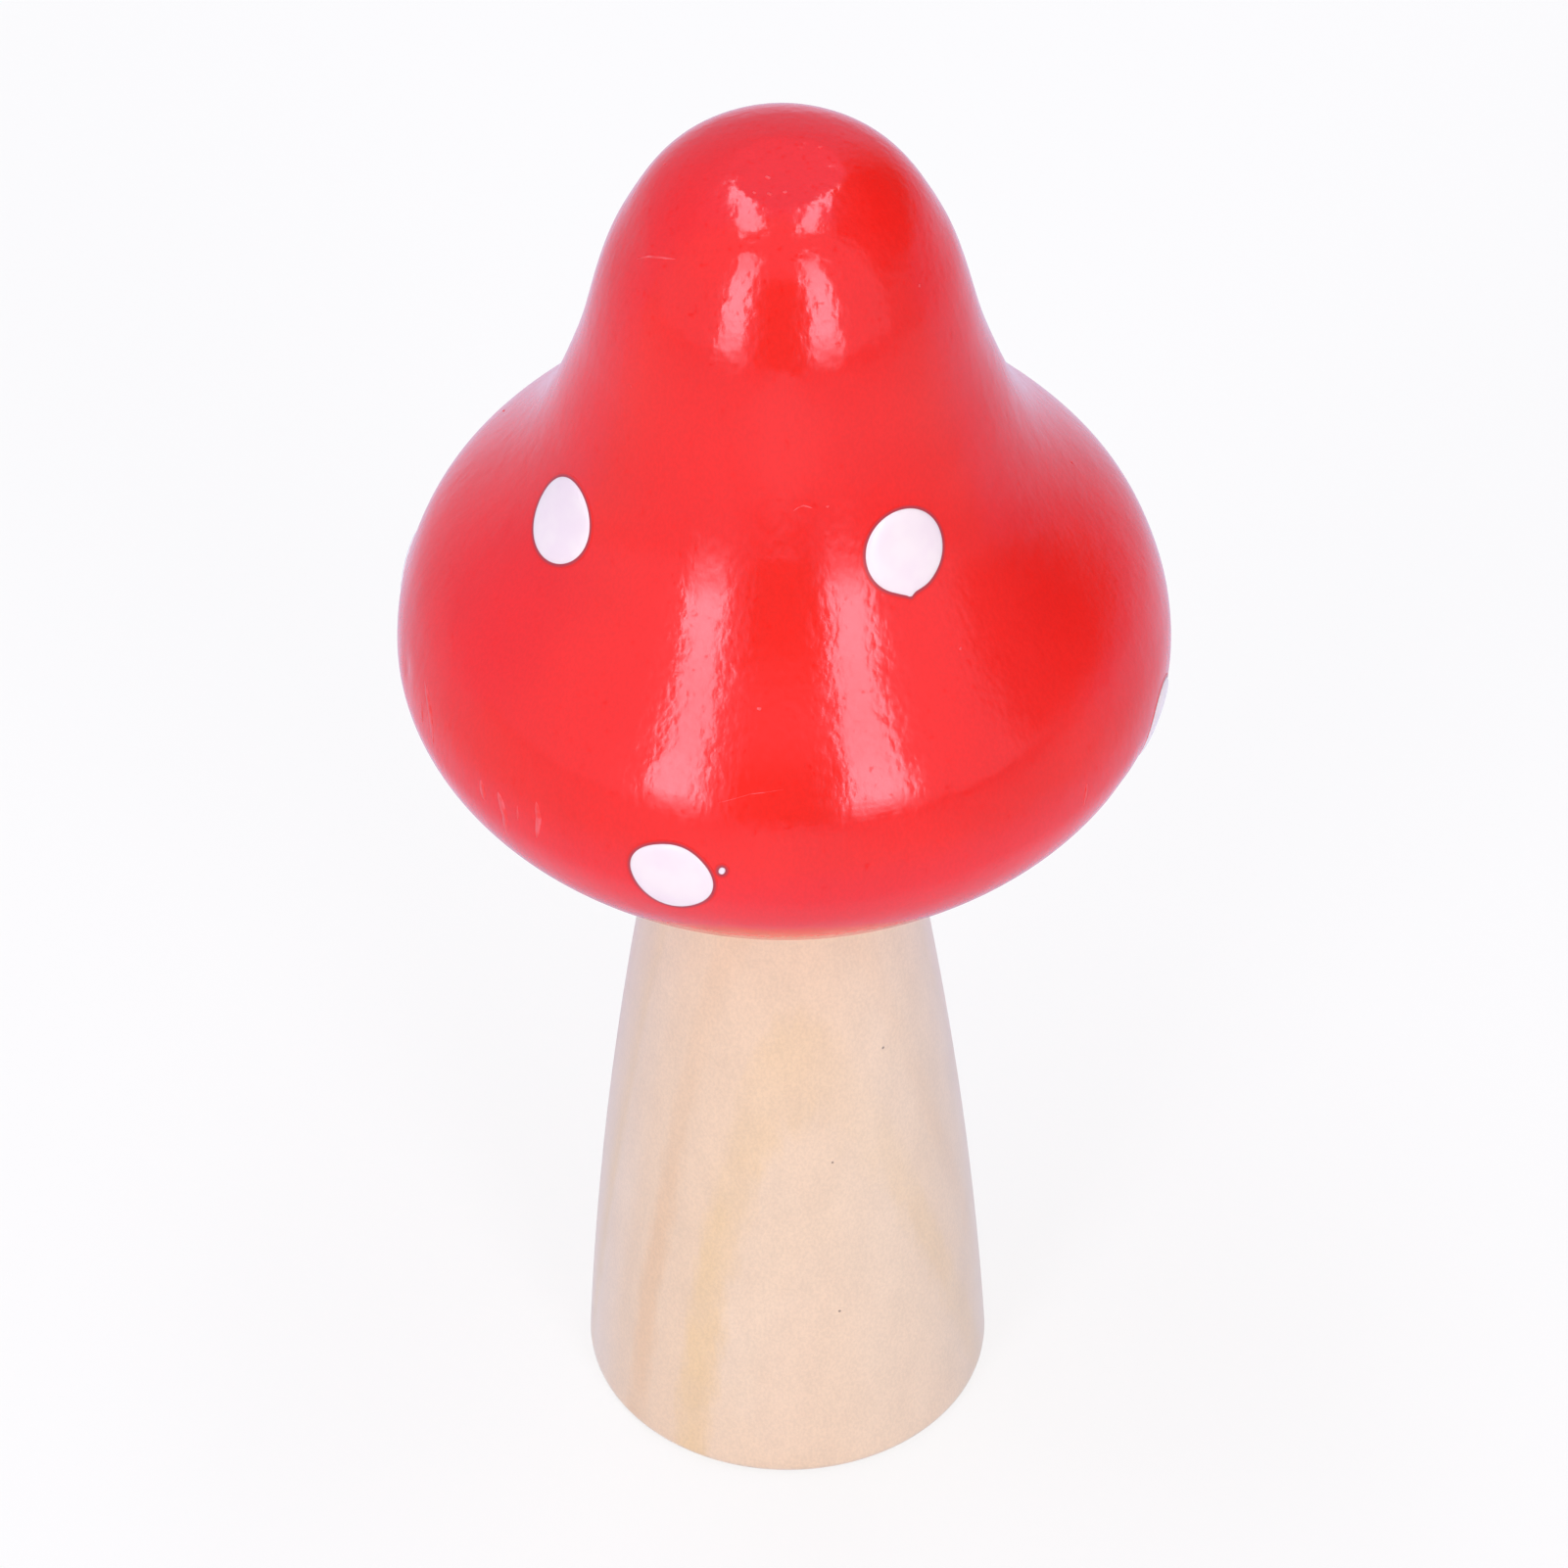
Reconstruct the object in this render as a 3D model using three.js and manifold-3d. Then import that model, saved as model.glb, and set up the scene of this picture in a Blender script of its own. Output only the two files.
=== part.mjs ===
// A turned wooden toadstool: a red lacquered cap with white paint dots, held on a plain stem by a glued dowel.
// Millimetres, +Z up. The origin is the middle of the stem's flat foot, and -Y is the front.
import * as THREE from "three";
import { mergeVertices } from "three/addons/utils/BufferGeometryUtils.js";
import Module from "manifold-3d";

// Stem
const STEM_LENGTH = 49;
const STEM_TOP_DIAMETER = 14.5;
const STEM_FOOT_DIAMETER = 25.8;
const STEM_BELLY = 0.8; // how far the side swells past a straight cone at half its height
const FOOT_EDGE_RADIUS = 0.8;

// Cap, with heights measured up from its underside
const CAP_HEIGHT = 51;
const CAP_DIAMETER = 47.3;
const RIM_HEIGHT = 12.9; // of the widest ring
const UNDERSIDE_DIAMETER = 19.4; // of the flat that sits on the stem
const NECK_HEIGHT = 30.6; // where the rounded crown turns into the flared bell
const NECK_DIAMETER = 28.4;
const NECK_SLOPE = 64; // degrees below level

// Fullness of the cap's curves: how far each end keeps its direction, as a share of the curve's straight run
const CROWN_TOP_FULLNESS = 0.488;
const CROWN_SIDE_FULLNESS = 0.349;
const BELL_NECK_FULLNESS = 0.42;
const BELL_RIM_FULLNESS = 0.396;
const UNDER_RIM_FULLNESS = 0.291;
const UNDERSIDE_FULLNESS = 0.226;

// Dowel, half of it in the cap and half in the stem
const DOWEL_DIAMETER = 6;
const DOWEL_LENGTH = 30;
const DOWEL_CHAMFER = 0.7;
const FLUTE_COUNT = 12; // grooves that let the glue past
const FLUTE_DEPTH = 0.25;
const SOCKET_CLEARANCE = 0.15; // around the dowel, for glue
const SOCKET_END_ROOM = 1; // past each end of the dowel, for glue

// White paint dots, dabbed by eye in two rows
const DOT_DIAMETER = 5.3;
const PAINT_THICKNESS = 0.2;
const PAINT_CLEARANCE = 0.05; // between the cap's facets and the paint's
const UPPER_ROW_DROP = 1.1; // from the neck
const LOWER_ROW_RISE = 0.9; // from the widest ring
// Each dot's turn from the front, in degrees towards +X, and how far it strays above its row
const UPPER_ROW = [
  { name: "dot_upper_right", turn: 30, stray: 0.9 },
  { name: "dot_upper_left", turn: -59, stray: -0.9 },
  { name: "dot_upper_back_right", turn: 134, stray: -0.4 },
  { name: "dot_upper_back_left", turn: 212, stray: 0.3 },
];
const LOWER_ROW = [
  { name: "dot_lower_front", turn: -16.4, stray: 0.1 },
  { name: "dot_lower_right", turn: 75.8, stray: -2.85 },
  { name: "dot_lower_back", turn: 165, stray: 0.4 },
  { name: "dot_lower_left", turn: 257, stray: -0.4 },
];

// Fineness of the facets
const ROUND_SIDES = 64;
const CURVE_STEPS = 8;
const STEM_SIDE_STEPS = 6;
const EDGE_STEPS = 3;
const FLUTE_STEPS = 4;
const DOT_SIDES = 24;

const SOCKET_DIAMETER = DOWEL_DIAMETER + 2 * SOCKET_CLEARANCE;
const SOCKET_DEPTH = DOWEL_LENGTH / 2 + SOCKET_END_ROOM;

const wasm = await Module();
wasm.setup();

// A closed geometry as a solid that can be cut
function solidOf(geometry) {
  const bare = geometry.clone();
  bare.deleteAttribute("normal");
  bare.deleteAttribute("uv");
  const merged = mergeVertices(bare);
  const vertProperties = merged.getAttribute("position").array;
  const triVerts = new Uint32Array(merged.index.array);
  return new wasm.Manifold(new wasm.Mesh({ numProp: 3, vertProperties, triVerts }));
}

function geometryOf(solid) {
  const { vertProperties, triVerts } = solid.getMesh();
  const geometry = new THREE.BufferGeometry();
  geometry.setAttribute("position", new THREE.BufferAttribute(vertProperties, 3));
  geometry.setIndex(new THREE.BufferAttribute(triVerts, 1));
  geometry.computeVertexNormals();
  return geometry;
}

// A solid turned about Z, from an outline of (radius, height) points that runs from axis to axis, outer side upwards
function turned(outline) {
  return new THREE.LatheGeometry(outline, ROUND_SIDES).rotateX(Math.PI / 2);
}

function mesh(name, geometry, material) {
  const piece = new THREE.Mesh(geometry, material);
  piece.name = name;
  return piece;
}

// The cap's outer side, from the edge of its underside up to the top of its crown
function capOutline() {
  const under = new THREE.Vector2(UNDERSIDE_DIAMETER / 2, 0);
  const rim = new THREE.Vector2(CAP_DIAMETER / 2, RIM_HEIGHT);
  const neck = new THREE.Vector2(NECK_DIAMETER / 2, NECK_HEIGHT);
  const top = new THREE.Vector2(0, CAP_HEIGHT);
  const outwards = new THREE.Vector2(1, 0);
  const upwards = new THREE.Vector2(0, 1);
  const slope = THREE.MathUtils.degToRad(NECK_SLOPE);
  const downhill = new THREE.Vector2(Math.cos(slope), -Math.sin(slope));
  const rounding = under.distanceTo(rim);
  const bell = rim.distanceTo(neck);
  const crown = neck.distanceTo(top);
  const handle = (point, direction, length) => point.clone().addScaledVector(direction, length);
  const outline = new THREE.CurvePath();
  outline.add(new THREE.CubicBezierCurve(
    under,
    handle(under, outwards, UNDERSIDE_FULLNESS * rounding),
    handle(rim, upwards, -UNDER_RIM_FULLNESS * rounding),
    rim,
  ));
  outline.add(new THREE.CubicBezierCurve(
    rim,
    handle(rim, upwards, BELL_RIM_FULLNESS * bell),
    handle(neck, downhill, BELL_NECK_FULLNESS * bell),
    neck,
  ));
  outline.add(new THREE.CubicBezierCurve(
    neck,
    handle(neck, downhill, -CROWN_SIDE_FULLNESS * crown),
    handle(top, outwards, CROWN_TOP_FULLNESS * crown),
    top,
  ));
  return outline.getPoints(CURVE_STEPS);
}

const CAP_OUTLINE = capOutline();

// The cap's outline moved straight out from its surface
function capOutlineGrown(distance) {
  const last = CAP_OUTLINE.length - 1;
  return CAP_OUTLINE.map((point, index) => {
    const before = CAP_OUTLINE[Math.max(index - 1, 0)];
    const after = CAP_OUTLINE[Math.min(index + 1, last)];
    const along = after.clone().sub(before).normalize();
    const outward = index === last ? new THREE.Vector2(0, 1) : new THREE.Vector2(along.y, -along.x);
    return point.clone().addScaledVector(outward, distance);
  });
}

// Spindle-turned cap with a blind socket for the dowel in its flat underside
function cap() {
  const socket = [
    new THREE.Vector2(0, SOCKET_DEPTH),
    new THREE.Vector2(SOCKET_DIAMETER / 2, SOCKET_DEPTH),
    new THREE.Vector2(SOCKET_DIAMETER / 2, 0),
  ];
  const lacquer = new THREE.MeshStandardMaterial({ color: 0xee2c2b, roughness: 0.18, metalness: 0 });
  return mesh("cap", turned([...socket, ...CAP_OUTLINE]), lacquer);
}

// Tapered stem with a flat foot, its edge just rounded, and the dowel's other socket in its flat top
function stem() {
  const footRadius = STEM_FOOT_DIAMETER / 2;
  const topRadius = STEM_TOP_DIAMETER / 2;
  const flankMiddle = new THREE.Vector2(
    (footRadius + topRadius) / 2 + 2 * STEM_BELLY,
    (FOOT_EDGE_RADIUS + STEM_LENGTH) / 2,
  );
  const edge = new THREE.EllipseCurve(
    footRadius - FOOT_EDGE_RADIUS,
    FOOT_EDGE_RADIUS,
    FOOT_EDGE_RADIUS,
    FOOT_EDGE_RADIUS,
    -Math.PI / 2,
    0,
  );
  const flank = new THREE.QuadraticBezierCurve(
    new THREE.Vector2(footRadius, FOOT_EDGE_RADIUS),
    flankMiddle,
    new THREE.Vector2(topRadius, STEM_LENGTH),
  );
  const outline = [
    new THREE.Vector2(0, 0),
    ...edge.getPoints(EDGE_STEPS),
    ...flank.getPoints(STEM_SIDE_STEPS).slice(1),
    new THREE.Vector2(SOCKET_DIAMETER / 2, STEM_LENGTH),
    new THREE.Vector2(SOCKET_DIAMETER / 2, STEM_LENGTH - SOCKET_DEPTH),
    new THREE.Vector2(0, STEM_LENGTH - SOCKET_DEPTH),
  ];
  const wood = new THREE.MeshStandardMaterial({ color: 0xecd3b8, roughness: 0.6, metalness: 0 });
  return mesh("stem", turned(outline), wood);
}

// Fluted pin with chamfered ends, centred on its own middle
function dowel() {
  const radius = DOWEL_DIAMETER / 2;
  const steps = FLUTE_COUNT * FLUTE_STEPS;
  const section = new THREE.Shape(
    Array.from({ length: steps }, (_, step) => {
      const angle = (step / steps) * 2 * Math.PI;
      const groove = FLUTE_DEPTH * Math.max(0, -Math.cos(FLUTE_COUNT * angle));
      return new THREE.Vector2(Math.cos(angle), Math.sin(angle)).multiplyScalar(radius - groove);
    }),
  );
  const rod = new THREE.ExtrudeGeometry(section, { depth: DOWEL_LENGTH, bevelEnabled: false });
  // The chamfers are cut by cones that run on past the rod's side.
  const ends = turned([
    new THREE.Vector2(0, 0),
    new THREE.Vector2(radius - DOWEL_CHAMFER, 0),
    new THREE.Vector2(radius + DOWEL_CHAMFER, 2 * DOWEL_CHAMFER),
    new THREE.Vector2(radius + DOWEL_CHAMFER, DOWEL_LENGTH - 2 * DOWEL_CHAMFER),
    new THREE.Vector2(radius - DOWEL_CHAMFER, DOWEL_LENGTH),
    new THREE.Vector2(0, DOWEL_LENGTH),
  ]);
  const pin = geometryOf(solidOf(rod).intersect(solidOf(ends))).translate(0, 0, -DOWEL_LENGTH / 2);
  const beech = new THREE.MeshStandardMaterial({ color: 0xd9b48a, roughness: 0.7, metalness: 0 });
  return mesh("dowel", pin, beech);
}

// The film of paint that would cover the whole cap
function paintCoat() {
  const inside = capOutlineGrown(PAINT_CLEARANCE);
  const outside = capOutlineGrown(PAINT_CLEARANCE + PAINT_THICKNESS);
  return solidOf(turned([...inside.reverse(), ...outside]));
}

// The round patch of that film at a turn from the front and a height on the cap's side
function paintDot(coat, name, turn, height, paint) {
  const above = CAP_OUTLINE.findIndex((point) => point.y >= height);
  const low = CAP_OUTLINE[above - 1];
  const high = CAP_OUTLINE[above];
  const along = high.clone().sub(low);
  const centre = low.clone().addScaledVector(along, (height - low.y) / along.y);
  const angle = THREE.MathUtils.degToRad(turn);
  const around = (radius, level) =>
    new THREE.Vector3(radius * Math.sin(angle), -radius * Math.cos(angle), level);
  const disc = new THREE.Shape().absarc(0, 0, DOT_DIAMETER / 2, 0, 2 * Math.PI);
  const cutter = new THREE.ExtrudeGeometry(disc, {
    depth: DOT_DIAMETER,
    bevelEnabled: false,
    curveSegments: DOT_SIDES / 2,
  });
  cutter.translate(0, 0, -DOT_DIAMETER / 2);
  cutter.lookAt(around(along.y, -along.x));
  cutter.translate(...around(centre.x, centre.y));
  return mesh(name, geometryOf(coat.intersect(solidOf(cutter))), paint.clone());
}

function paintDots() {
  const coat = paintCoat();
  const paint = new THREE.MeshStandardMaterial({ color: 0xf7eef4, roughness: 0.25, metalness: 0 });
  const upper = UPPER_ROW.map(({ name, turn, stray }) =>
    paintDot(coat, name, turn, NECK_HEIGHT - UPPER_ROW_DROP + stray, paint));
  const lower = LOWER_ROW.map(({ name, turn, stray }) =>
    paintDot(coat, name, turn, RIM_HEIGHT + LOWER_ROW_RISE + stray, paint));
  return [...upper, ...lower];
}

const painted = new THREE.Group();
painted.add(cap(), ...paintDots());
painted.position.z = STEM_LENGTH;

const pin = dowel();
pin.position.z = STEM_LENGTH;

const mushroom = new THREE.Group();
mushroom.add(stem(), pin, painted);

export default mushroom;
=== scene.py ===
import math

import bpy
import numpy as np
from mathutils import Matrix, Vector


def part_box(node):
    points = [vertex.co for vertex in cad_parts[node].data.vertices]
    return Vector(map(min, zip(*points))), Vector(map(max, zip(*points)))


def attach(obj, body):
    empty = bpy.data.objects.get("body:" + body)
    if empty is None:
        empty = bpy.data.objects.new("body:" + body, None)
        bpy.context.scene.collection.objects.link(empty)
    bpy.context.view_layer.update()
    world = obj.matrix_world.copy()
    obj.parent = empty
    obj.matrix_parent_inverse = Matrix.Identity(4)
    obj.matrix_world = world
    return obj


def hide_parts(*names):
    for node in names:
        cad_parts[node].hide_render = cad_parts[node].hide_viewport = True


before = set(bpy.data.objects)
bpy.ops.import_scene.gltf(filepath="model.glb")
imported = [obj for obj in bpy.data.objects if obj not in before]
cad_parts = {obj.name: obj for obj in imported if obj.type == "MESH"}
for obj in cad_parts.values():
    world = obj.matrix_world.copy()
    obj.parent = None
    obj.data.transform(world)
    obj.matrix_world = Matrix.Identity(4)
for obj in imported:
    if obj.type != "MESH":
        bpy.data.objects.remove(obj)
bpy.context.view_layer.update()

MM = 0.001

# Sizes of the turned pieces, read from the frame, in metres
CAP_LOW, CAP_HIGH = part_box("cap")
STEM_LOW, STEM_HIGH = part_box("stem")
DOWEL_LOW, DOWEL_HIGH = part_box("dowel")
CAP_RADIUS = (CAP_HIGH.x - CAP_LOW.x) / 2
FOOT_RADIUS = (STEM_HIGH.x - STEM_LOW.x) / 2
SOCKET_CLEARANCE = 0.15 * MM
SOCKET_END_ROOM = 1.0 * MM
SOCKET_RADIUS = (DOWEL_HIGH.x - DOWEL_LOW.x) / 2 + SOCKET_CLEARANCE
SOCKET_TOP = DOWEL_HIGH.z + SOCKET_END_ROOM
SOCKET_BOTTOM = DOWEL_LOW.z - SOCKET_END_ROOM

# The cap's outline: where its curves meet, with heights above its underside
UNDERSIDE_RADIUS = 9.7 * MM
RIM_HEIGHT = 12.9 * MM
NECK_RADIUS = 14.2 * MM
NECK_HEIGHT = 30.6 * MM
NECK_SLOPE = math.radians(64)
# How far each curve keeps the direction of its ends, as a share of its straight run
UNDERSIDE_FULLNESS, UNDER_RIM_FULLNESS = 0.226, 0.291
BELL_RIM_FULLNESS, BELL_NECK_FULLNESS = 0.396, 0.42
CROWN_SIDE_FULLNESS, CROWN_TOP_FULLNESS = 0.349, 0.488
# Where the hand-turned side departs from these curves: the height, spread and depth of each soft swell or
# hollow, in millimetres
CAP_TRIM = [
    (57.8, 2.5, 0.055),
    (66.0, 2.0, -0.08),
    (74.0, 4.5, -0.24),
    (77.0, 2.6, -0.05),
    (81.5, 2.8, 0.07),
    (86.0, 2.8, -0.06),
    (90.0, 6.0, -0.05),
    (94.5, 2.0, -0.12),
]
# How far the crown leans to the left, and between which heights the lean sets in
CROWN_SHIFT = -0.12 * MM
CROWN_SHIFT_START, CROWN_SHIFT_END = 76 * MM, 92 * MM

# The stem's outline, and its slight lean: how far it shifts with height, from the foot's place on the right
# to the top's on the left
STEM_TOP_RADIUS = 7.25 * MM
STEM_BELLY = 0.8 * MM
FOOT_EDGE_RADIUS = 0.8 * MM
STEM_LEAN = 0.0085
STEM_FOOT_SHIFT = 0.24 * MM
STEM_TOP_SHIFT = -0.06 * MM

# Fineness of the turned meshes
CURVE_STEPS = 400
CAP_ROWS = 240
CROWN_RUN = 6.0 * MM
CROWN_ROWS = 70
STEM_ROWS = 130
EDGE_ROWS = 8
FLAT_ROWS = 6
ROUND_STEPS = 300
SHARP_ANGLE = math.radians(40)

# White paint
PAINT_HEIGHT = 0.17 * MM
PAINT_SINK = 0.03 * MM
DOT_SPOKES = 120
DOT_DOME_POWER = 6
DOT_RINGS = (0.2, 0.4, 0.6, 0.75, 0.86, 0.91, 0.94, 0.96, 0.98, 0.99, 1.0)
# The thin brim around each dot, dark partly from lacquer stain and partly from painted shade along the dot's
# edge
BRIM_HEIGHT = 0.012 * MM
BRIM_WIDTH = 0.3 * MM
BRIM_RINGS = (0.12, 0.35, 0.65, 1.0)
# Each dot's mean radius, slow waves (order, amount, direction) and kinks (direction, amount, spread), in
# millimetres and in degrees counted anticlockwise from the dot's right
DOT_SHAPES = {
    "dot_upper_right": (
        2.55,
        [(1, 0.12, 28), (3, 0.02, 11)],
        [(266, 0.15, 4), (263, 0.14, 11), (289, 0.05, 15)],
    ),
    "dot_upper_left": (2.58, [(1, 0.47, 191), (2, 0.07, 8)], []),
    "dot_upper_back_right": (2.5, [(2, 0.09, 60), (3, 0.04, 10)], []),
    "dot_upper_back_left": (2.55, [(2, 0.07, 110), (1, 0.05, 280)], [(265, 0.1, 7)]),
    "dot_lower_front": (2.44, [(1, 0.19, 254), (2, 0.076, -13), (3, 0.05, 29), (4, 0.06, -12)], []),
    "dot_lower_right": (2.64, [(2, 0.08, 80)], []),
    "dot_lower_back": (2.48, [(2, 0.1, 20), (3, 0.05, 70)], []),
    "dot_lower_left": (2.52, [(2, 0.06, 130), (1, 0.06, 300)], []),
}
FLECK_TURN = math.radians(-9.0)
FLECK_HEIGHT = 63.8 * MM
FLECK_SHAPE = (0.2, [(2, 0.03, 70)], [])
FLECK_THICKNESS = 0.6 * PAINT_HEIGHT

# Wear on the cap: the flat sanded on its crown, towards the front, by its middle, half widths and depth,
# and dents given by turn (degrees from the front), height, radius and depth (millimetres)
FLAT_MIDDLE = (0.26 * MM, -1.7 * MM)
FLAT_HALF = (3.3 * MM, 2.75 * MM)
FLAT_DEPTH = 0.27 * MM
FLAT_SOFTNESS = 0.06
# The waves in the flat's edge (order, amount, phase), and the share of its reach over which they set in
FLAT_RAGGED = [(3, 0.07, 0.5), (7, 0.04, 1.1), (13, 0.03, 0.0)]
FLAT_RAGGED_START, FLAT_RAGGED_FULL = 0.4, 0.9
DENTS = [
    (-77, 63.7, 0.9, 0.10),
    (-79, 57.5, 0.8, 0.08),
    (62, 58.5, 0.9, 0.06),
    (140, 70.0, 1.2, 0.07),
]
# Slow waves left by hand turning: depth, lobes around the cap, and how they twist and repeat with height
SWELL_DEPTH, SWELL_LOBES, SWELL_TWIST, SWELL_PITCH = 0.010 * MM, 3, 5 * MM, 2.6 * MM
RIPPLE_DEPTH, RIPPLE_LOBES, RIPPLE_TWIST, RIPPLE_PITCH = 0.008 * MM, 7, 2, 4.1 * MM
RIPPLE_PHASE = 1.3
# The waves set in with distance from the axis, and all relief with height above the underside
WAVES_START_RADIUS, WAVES_FULL_RADIUS = 2 * MM, 9 * MM
RELIEF_FADE = 2 * MM

# Marks under the lacquer, as lines of (turn in degrees, height in millimetres), with the half width and
# height of each in millimetres
RAISED_GRAIN = [
    ([(-69.2, 65.3), (-66.9, 64.7), (-65.4, 64.1), (-64.1, 63.2), (-63.5, 62.2)], 0.36, 0.05),
    ([(-68.6, 63.8), (-67.6, 62.6)], 0.28, 0.04),
    ([(-46.6, 63.6), (-45.8, 63.1), (-44.9, 62.1), (-45.0, 60.6)], 0.32, 0.04),
    ([(-39.2, 64.6), (-38.4, 63.6), (-38.6, 62.0)], 0.26, 0.035),
    ([(-50.4, 63.5), (-49.4, 62.2)], 0.3, 0.035),
    ([(-42.5, 63.6), (-42.2, 62.5)], 0.09, 0.03),
    ([(50.4, 63.2), (49.5, 61.7)], 0.13, 0.05),
    ([(118, 66.0), (119, 62.6)], 0.15, 0.06),
    ([(187, 65.1), (188, 61.8)], 0.14, 0.06),
    ([(226, 64.0), (225, 60.8)], 0.15, 0.06),
]
SCRATCHES = [
    ([(2.6, 83.1), (3.9, 83.3), (5.4, 83.4), (6.7, 83.3), (7.7, 83.2)], 0.06, 0.03),
    ([(-66.9, 94.6), (-61.6, 95.3), (-55.0, 95.8), (-48.2, 96.2)], 0.09, 0.03),
    ([(-10.0, 68.0), (-5.3, 68.6), (0.0, 68.9)], 0.03, 0.008),
    ([(150, 84.0), (158, 84.6), (166, 84.4)], 0.05, 0.02),
]
# Dust caught in the lacquer: turn in degrees, height and radius in millimetres
DUST = [
    (-4.5, 72.6, 0.09),
    (35.9, 73.6, 0.07),
    (11.7, 83.2, 0.06),
    (-50.2, 88.0, 0.06),
    (-20.5, 99.81, 0.12),
    (-11.5, 99.54, 0.11),
    (3.0, 99.6, 0.09),
    (98.6, 99.83, 0.09),
    (-25.3, 99.49, 0.08),
    (-101.0, 97.7, 0.06),
    (57.0, 93.9, 0.06),
    (96.0, 74.0, 0.07),
    (176.0, 88.0, 0.07),
    (241.0, 71.5, 0.08),
]
# A speck's height and waves as shares of its radius, the direction of its lobes, and its brim
DUST_HEIGHT = 0.5
DUST_OVAL, DUST_LOBES, DUST_LOBES_TURN = 0.25, 0.12, 40
DUST_BRIM = 0.02 * MM
# Steps along a mark, its cross-section (across, up), and how thin its ends are
MARK_STEPS = 20
MARK_END = 0.01
MARK_SECTION = ((-1.0, 0.0), (-0.6, 0.7), (0.0, 1.0), (0.6, 0.7), (1.0, 0.0))

# Camera, from the photo
CAMERA_DISTANCE = 0.5913
CAMERA_ELEVATION = math.radians(43.13)
CAMERA_TARGET = Vector((0, 0, 0.0491))
CAMERA_LENS = 218.7
CAMERA_SENSOR = 36
CAMERA_CLIP_START = 0.01

# Studio, with lengths in metres, turns in degrees from the front and rises in degrees above level

# The floor's size and paper, and how much of it is a plain glow to the camera and when mirrored
FLOOR_HALF = 6.0
FLOOR_DARK, FLOOR_LIGHT = (0.9, 0.9, 0.9, 1), (0.92, 0.92, 0.92, 1)
FLOOR_ROUGHNESS = 0.9
FLOOR_SCALE = 0.02
FLOOR_GLOW_IN_VIEW = 0.78
FLOOR_GLOW_MIRRORED = 0.84
# The glow's level when mirrored: it falls off to the sides, to the right and close to the foot, and it is
# cooler behind and near the foot. These distances are in millimetres
FLOOR_MIRRORED_LEVEL = 0.875
FLOOR_SIDES, FLOOR_SIDES_FALL = (30.0, 200.0), 0.2
FLOOR_RIGHT, FLOOR_RIGHT_FALL = (100.0, 700.0), 0.22
FLOOR_NEAR, FLOOR_NEAR_FALL = (20.0, 60.0), 0.25
FLOOR_TINT = (1.0, 0.965, 1.0, 1)
FLOOR_COOL_BACK, FLOOR_COOL_NEAR = (-60.0, 90.0), (60.0, 220.0)
# The lamps: each strip's name, turn and width, and its parts by bottom, top and radiance
LAMP_TINT = (1.0, 0.965, 1.015)
STRIP_AWAY = 1.0
STRIP_PARTS = [
    (0.055, 0.12, 0.6),
    (0.12, 0.18, 1.5),
    (0.18, 0.25, 2.8),
    (0.25, 0.62, 4.5),
    (0.62, 0.90, 3.95),
    (0.90, 1.38, 2.8),
]
STRIPS = [("strip_left", -31.0, 0.272), ("strip_right", 26.6, 0.298)]
# The overhead lamps: name, place across and width
OVERHEAD_HEIGHT = 1.05
OVERHEAD_BACK = 0.14
OVERHEAD_LENGTH = 0.78
OVERHEAD_RADIANCE = 4.0
OVERHEADS = [("overhead_left", -0.31, 0.25), ("overhead_right", 0.265, 0.19)]
# The tent as it is mirrored: its tints, its level, and how far it falls off to the low sides
TENT_FRONT_TINT = (1.0, 0.965, 1.04, 1)
TENT_BACK_TINT = (0.84, 0.90, 1.2, 1)
TENT_LEVEL = 0.82
TENT_SIDE_FALL = 0.26
TENT_SIDE_TURNS = (68, 108)
TENT_LOW_RISES = (30, 60)
# The tent's level for lighting: in front, at the sides, behind, and what is added low down
LIGHTING_FRONT, LIGHTING_SIDE, LIGHTING_BACK, LIGHTING_LOW = 0.47, 0.75, 0.4, 0.16
LIGHTING_SIDE_TURNS = (35, 75)
LIGHTING_BACK_TURNS = (95, 130)
LIGHTING_LOW_RISES = (5, 30)
# Openings in the tent: turns, rises, the blurs of these four edges, darkening, lighting lost and tint
OPENINGS = [
    ((71, 150), (0, 60), (6, 14), (12, 6), 0.56, 0.17, (1.0, 0.97, 0.96, 1)),
    ((-15, 14), (-5, 36), (4, 4), (6, 12), 0.48, 0.0, (1.0, 0.95, 0.8, 1)),
]

# Colours
WHITE = (1, 1, 1, 1)
LACQUER_DEEP = (0.81, 0.0066, 0.0028, 1)
LACQUER_BRIGHT = (0.87, 0.0085, 0.0038, 1)
LACQUER_PORE = (0.62, 0.005, 0.0025, 1)
LACQUER_GLINT = (1.0, 0.94, 1.08, 1)
SCUFF_RED = (0.87, 0.02, 0.018, 1)
SCUFF_PALE = (0.88, 0.085, 0.1, 1)
PAINT_WHITE = (0.90, 0.81, 0.83, 1)
PAINT_THIN = (0.87, 0.755, 0.81, 1)
# Partly painted shade: the brim's dark maroon is partly lacquer stain and partly shade painted along each
# dot's edge
PAINT_EDGE_AND_SHADE = (0.4, 0.035, 0.055, 1)
WOOD_CREAM = (0.812, 0.612, 0.427, 1)
# Painted light: a lighter wood colour laid on towards the stem's right side, where less light reaches it
WOOD_PAINTED_LIGHT = (0.845, 0.675, 0.51, 1)
WOOD_PINK = (0.832, 0.638, 0.468, 1)
WOOD_PALE = (0.83, 0.648, 0.478, 1)
WOOD_TAN = (0.80, 0.582, 0.338, 1)
WOOD_RUSSET = (0.785, 0.548, 0.343, 1)
WOOD_SPECK = (0.16, 0.09, 0.06, 1)
WOOD_FUZZ = (0.96, 0.97, 0.93, 1)
BEECH_PALE = (0.74, 0.52, 0.33, 1)
BEECH_TAN = (0.58, 0.36, 0.19, 1)

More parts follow.
